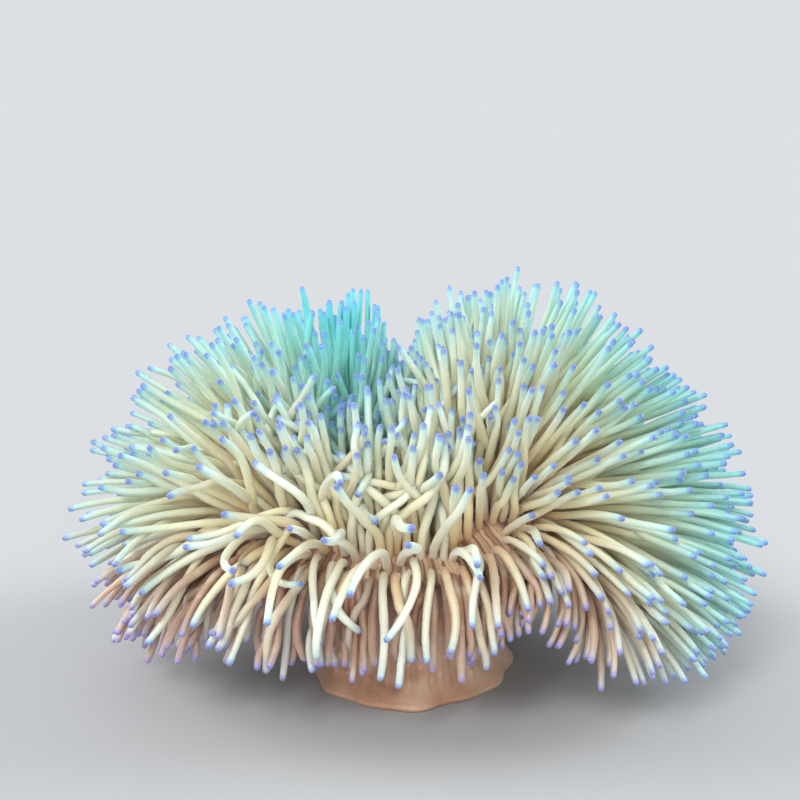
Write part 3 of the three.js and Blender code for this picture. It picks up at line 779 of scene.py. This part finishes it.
# ---- materials
class Nodes:
    """Short calls for building a node tree."""

    def __init__(self, name):
        self.material = bpy.data.materials.new(name)
        self.material.use_nodes = True
        self.tree = self.material.node_tree
        self.shader = self.tree.nodes["Principled BSDF"]

    def add(self, kind, **inputs):
        node = self.tree.nodes.new(kind)
        for key, value in inputs.items():
            self.set(node.inputs[key.replace("_", " ")], value)
        return node

    def set(self, socket, value):
        if isinstance(value, bpy.types.NodeSocket):
            self.tree.links.new(value, socket)
        else:
            socket.default_value = value

    def attribute(self, name):
        node = self.tree.nodes.new("ShaderNodeAttribute")
        node.attribute_name = name
        return node.outputs["Fac"]

    def math(self, operation, a, b=0.0):
        node = self.tree.nodes.new("ShaderNodeMath")
        node.operation = operation
        self.set(node.inputs[0], a)
        self.set(node.inputs[1], b)
        return node.outputs[0]

    def times(self, a, b):
        return self.math("MULTIPLY", a, b)

    def plus(self, a, b):
        return self.math("ADD", a, b)

    def ramp(self, value, stops):
        node = self.tree.nodes.new("ShaderNodeValToRGB")
        while len(node.color_ramp.elements) < len(stops):
            node.color_ramp.elements.new(0.5)
        for element, (place, color) in zip(node.color_ramp.elements, stops):
            element.position = place
            element.color = (*color, 1)
        self.set(node.inputs[0], value)
        return node.outputs[0]

    def between(self, value, low, high):
        """0 at low, 1 at high, smooth."""
        node = self.tree.nodes.new("ShaderNodeMapRange")
        node.interpolation_type = "SMOOTHSTEP"
        self.set(node.inputs["Value"], value)
        node.inputs["From Min"].default_value = low
        node.inputs["From Max"].default_value = high
        return node.outputs[0]

    def mix(self, factor, a, b):
        node = self.tree.nodes.new("ShaderNodeMix")
        node.data_type = "RGBA"
        self.set(node.inputs[0], factor)
        for socket, value in ((node.inputs[6], a), (node.inputs[7], b)):
            self.set(socket, (*value, 1) if isinstance(value, tuple) else value)
        return node.outputs[2]

    def place(self):
        return self.tree.nodes.new("ShaderNodeTexCoord").outputs["Object"]

    def noise(self, scale, detail):
        return self.add("ShaderNodeTexNoise", Vector=self.place(), Scale=scale, Detail=detail).outputs[0]

    def streaks(self, detail):
        """Noise that changes round the disc and stays the same from the mouth to the margin."""
        place = self.place()
        squash = (1 / DISC_HALF_WIDTH / MM, 1 / DISC_HALF_DEPTH / MM, 0)
        mapping = self.add("ShaderNodeMapping", Vector=place, Scale=squash)
        wander = self.add("ShaderNodeTexNoise", Vector=place, Scale=LINE_WANDER_SCALE).outputs[1]
        moved = self.add("ShaderNodeMapping", Vector=wander, Scale=(LINE_WANDER, LINE_WANDER, 0))
        total = self.add("ShaderNodeVectorMath")
        self.set(total.inputs[0], mapping.outputs[0])
        self.set(total.inputs[1], moved.outputs[0])
        turn = self.add("ShaderNodeVectorMath")
        turn.operation = "NORMALIZE"
        self.set(turn.inputs[0], total.outputs[0])
        node = self.add("ShaderNodeTexNoise", Vector=turn.outputs[0], Scale=detail, Detail=3.0)
        return node.outputs[0]

    def bump(self, height, strength, distance):
        node = self.add("ShaderNodeBump", Height=height, Strength=strength, Distance=distance)
        return node.outputs[0]

    def finish(self, color, normal=None, **values):
        self.set(self.shader.inputs["Base Color"], color)
        if normal:
            self.set(self.shader.inputs["Normal"], normal)
        for key, value in values.items():
            self.set(self.shader.inputs[key.replace("_", " ")], value)
        return self.material


def tentacle_color(n, from_tip):
    """Cream, brown in the under row, partly its own tone and partly painted shade, and teal where painted
    bluish shade falls, with a violet tip.
    """
    along, tone, bluish_shade, under_brown_and_shade = (n.attribute(name) for name in ("from_root", "tone", "bluish_shade", "under_brown_and_shade"))
    cream = n.ramp(along, [(0.0, (0.70, 0.42, 0.23)), (0.14, (0.84, 0.62, 0.35)),
                           (0.36, (0.84, 0.72, 0.46)), (0.75, (0.76, 0.75, 0.56)), (1.0, (0.62, 0.73, 0.64))])
    teal_shade = n.ramp(along, [(0.0, (0.08, 0.34, 0.28)), (0.3, (0.10, 0.51, 0.44)),
                          (0.8, (0.08, 0.51, 0.50)), (1.0, (0.07, 0.46, 0.56))])
    # the under row's own brown, made darker as painted shade
    brown_and_shade = n.ramp(along, [(0.0, (0.15, 0.045, 0.025)), (0.4, (0.28, 0.11, 0.07)),
                           (0.85, (0.42, 0.24, 0.18)), (1.0, (0.36, 0.25, 0.36))])
    browner_and_shaded = n.times(under_brown_and_shade, 0.9)
    not_brown_or_shaded = n.math("SUBTRACT", 1.0, browner_and_shaded)
    color = n.mix(browner_and_shaded, cream, brown_and_shade)
    mottle = n.between(n.noise(70.0, 4.0), 0.48, 0.75)
    color = n.mix(n.times(mottle, 0.35), color, (0.80, 0.82, 0.68))
    color = n.mix(n.times(n.between(tone, 0.1, 1.0), 0.5), color, (0.66, 0.48, 0.36))
    color = n.mix(n.times(n.between(tone, -0.1, -1.0), 0.5), color, (0.74, 0.86, 0.80))
    # teal where painted bluish shade falls
    color = n.mix(n.times(bluish_shade, not_brown_or_shaded), color, teal_shade)
    # halo and violet tip lean bluer where painted bluish shade falls
    halo = n.mix(bluish_shade, (0.42, 0.63, 0.62), (0.12, 0.51, 0.60))
    violet = n.mix(bluish_shade, (0.17, 0.29, 0.62), (0.09, 0.31, 0.64))
    violet = n.mix(n.times(under_brown_and_shade, 0.6), violet, (0.36, 0.20, 0.50))
    color = n.mix(n.times(n.between(from_tip, 14.0, 5.0), n.times(not_brown_or_shaded, 0.5)), color, halo)
    color = n.mix(n.times(n.between(from_tip, 5.0, 2.0), 0.8), color, violet)
    return n.mix(n.times(n.between(from_tip, 2.0, 0.8), 0.8), color, (0.12, 0.15, 0.40))


def tentacle_material():
    n = Nodes("tentacle_flesh")
    from_tip = n.attribute("from_tip")
    skin = n.noise(700.0, 2.0)
    wander = n.times(n.noise(260.0, 2.0), 9.0)
    folds = n.math("SINE", n.plus(n.times(from_tip, 4.2), wander))
    rough = n.add("ShaderNodeMapRange", Value=skin, To_Min=0.30, To_Max=0.48)
    return n.finish(
        tentacle_color(n, from_tip),
        normal=n.bump(n.plus(skin, n.times(folds, 0.5)), 0.3, 0.0004),
        Roughness=rough.outputs[0],
        Subsurface_Weight=0.9,
        Subsurface_Radius=(1.0, 0.9, 0.75),
        Subsurface_Scale=0.006,
        Coat_Weight=0.4,
        Coat_Roughness=0.35,
        Sheen_Weight=1.0,
        Sheen_Roughness=0.3,
        Sheen_Tint=n.mix(n.attribute("under_brown_and_shade"), (0.88, 0.97, 1.0), (1.0, 0.70, 0.56)),
    )


def skin_material():
    """Tan flesh: fine radial lines on the disc, pale warts on the column, and painted shade darkening it
    under the disc.
    """
    n = Nodes("skin_flesh")
    on_disc, share = n.attribute("on_disc"), n.attribute("share")
    streaks = n.streaks(DISC_LINES)
    grain = n.noise(220.0, 4.0)
    disc = n.mix(n.between(streaks, 0.42, 0.56), (0.15, 0.06, 0.04), (0.54, 0.35, 0.22))
    disc = n.mix(n.between(streaks, 0.57, 0.68), disc, (0.70, 0.56, 0.42))
    disc = n.mix(n.times(grain, 0.25), disc, (0.60, 0.44, 0.28))
    blotch = n.noise(28.0, 3.0)
    column = n.mix(n.between(blotch, 0.35, 0.7), (0.48, 0.25, 0.15), (0.66, 0.44, 0.30))
    column = n.mix(n.times(grain, 0.35), column, (0.54, 0.28, 0.18))
    column = n.mix(n.times(n.attribute("wart"), 0.7), column, (0.80, 0.66, 0.54))
    # painted shade: the skin turns dark brown under the disc
    column = n.mix(n.times(n.attribute("shade_under_disc"), 0.9), column, (0.15, 0.05, 0.03))
    color = n.mix(on_disc, column, disc)
    color = n.mix(n.times(n.between(share, 0.14, 0.06), on_disc), color, (0.66, 0.50, 0.36))
    pebbles = n.add("ShaderNodeTexVoronoi", Scale=160.0).outputs[0]
    relief = n.plus(n.times(pebbles, 0.5), n.times(grain, 0.5))
    inside_edge = n.between(share, 1.0, 0.9)
    relief = n.plus(relief, n.times(n.times(streaks, inside_edge), 1.6))
    return n.finish(
        color,
        normal=n.bump(relief, 0.5, 0.0010),
        Roughness=0.48,
        Subsurface_Weight=0.25,
        Subsurface_Radius=(1.0, 0.55, 0.35),
        Subsurface_Scale=0.004,
        Coat_Weight=0.12,
        Coat_Roughness=0.3,
        Sheen_Weight=0.15,
        Sheen_Roughness=0.4,
        Sheen_Tint=(1.0, 0.94, 0.88, 1),
    )


# ---- the animal
def make_anemone():
    rng = np.random.default_rng(SEED)
    lines, share, angle, girth, under_brown_and_shade = grow(rng)
    lines = settle(lines, girth)
    into_disc = ROOT_DEPTH * disc_normal(share, angle)
    lines[:, 0] -= into_disc
    rings, t, tips, length = tube_points(lines, girth, rng)
    sunk = lines[:, 0] - into_disc
    front = front_weight(disc_point(share, angle), angle, share) * smooth_step(share, *FRONT_PALER_BAND)
    tone = rng.normal(0, TONE_VARIES, len(lines)) - FRONT_PALER * front * (1 - under_brown_and_shade)
    tone = np.clip(tone, -1, 1)
    skin = make_skin(skin_material())
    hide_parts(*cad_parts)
    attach(skin, "root")
    flesh = tentacle_material()
    for number in range(PIECES):
        own = slice(number, None, PIECES)
        piece = tentacle_piece(number + 1, rings[own], t[own], tips[own], length[own],
                               sunk[own], tone[own], under_brown_and_shade[own], flesh)
        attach(piece, "root")


# ---- floor, light and camera
def floor_color():
    """The floor's own colour, so that lit it looks like the sky and no horizon shows."""
    sky = SKY_COLOR * SKY_STRENGTH
    falling = [strength * np.array(color) * place[2] / np.linalg.norm(place)
               for _, place, strength, color, _ in SUNS]
    return sky / (sky + np.sum(falling, 0) / math.pi)


def make_floor():
    mesh = bpy.data.meshes.new("floor")
    near, far = -FLOOR_HALF, FLOOR_HALF
    mesh.from_pydata([(near, near, 0), (far, near, 0), (far, far, 0), (near, far, 0)], [], [(0, 1, 2, 3)])
    floor = bpy.data.objects.new("floor", mesh)
    bpy.context.scene.collection.objects.link(floor)
    n = Nodes("floor_paint")
    mesh.materials.append(n.finish((*floor_color(), 1), Roughness=1.0, Specular_IOR_Level=0.0))


def make_light():
    for name, place, strength, color, width in SUNS:
        sun = bpy.data.lights.new(name, "SUN")
        sun.energy = strength
        sun.color = color
        sun.angle = math.radians(width)
        thing = bpy.data.objects.new(name, sun)
        bpy.context.scene.collection.objects.link(thing)
        thing.location = place
        thing.rotation_euler = (LIGHT_TARGET - Vector(place)).to_track_quat("-Z", "Y").to_euler()
    world = bpy.data.worlds.new("studio")
    world.use_nodes = True
    world.node_tree.nodes["Background"].inputs["Color"].default_value = (*SKY_COLOR, 1)
    world.node_tree.nodes["Background"].inputs["Strength"].default_value = SKY_STRENGTH
    bpy.context.scene.world = world


def make_camera():
    camera = bpy.data.cameras.new("camera")
    camera.sensor_width = SENSOR_WIDTH
    camera.lens = SENSOR_WIDTH * PIXELS_PER_UNIT_SLOPE / PICTURE_WIDTH
    thing = bpy.data.objects.new("camera", camera)
    bpy.context.scene.collection.objects.link(thing)
    tilt = math.radians(CAMERA_ELEVATION)
    back = Vector((0, -math.cos(tilt), math.sin(tilt)))
    thing.location = (Vector(CAMERA_TARGET) + back * CAMERA_DISTANCE) * MM
    thing.rotation_euler = (-back).to_track_quat("-Z", "Y").to_euler()
    bpy.context.scene.camera = thing


make_camera()
make_anemone()
make_floor()
make_light()
bpy.context.scene.view_settings.view_transform = "Standard"
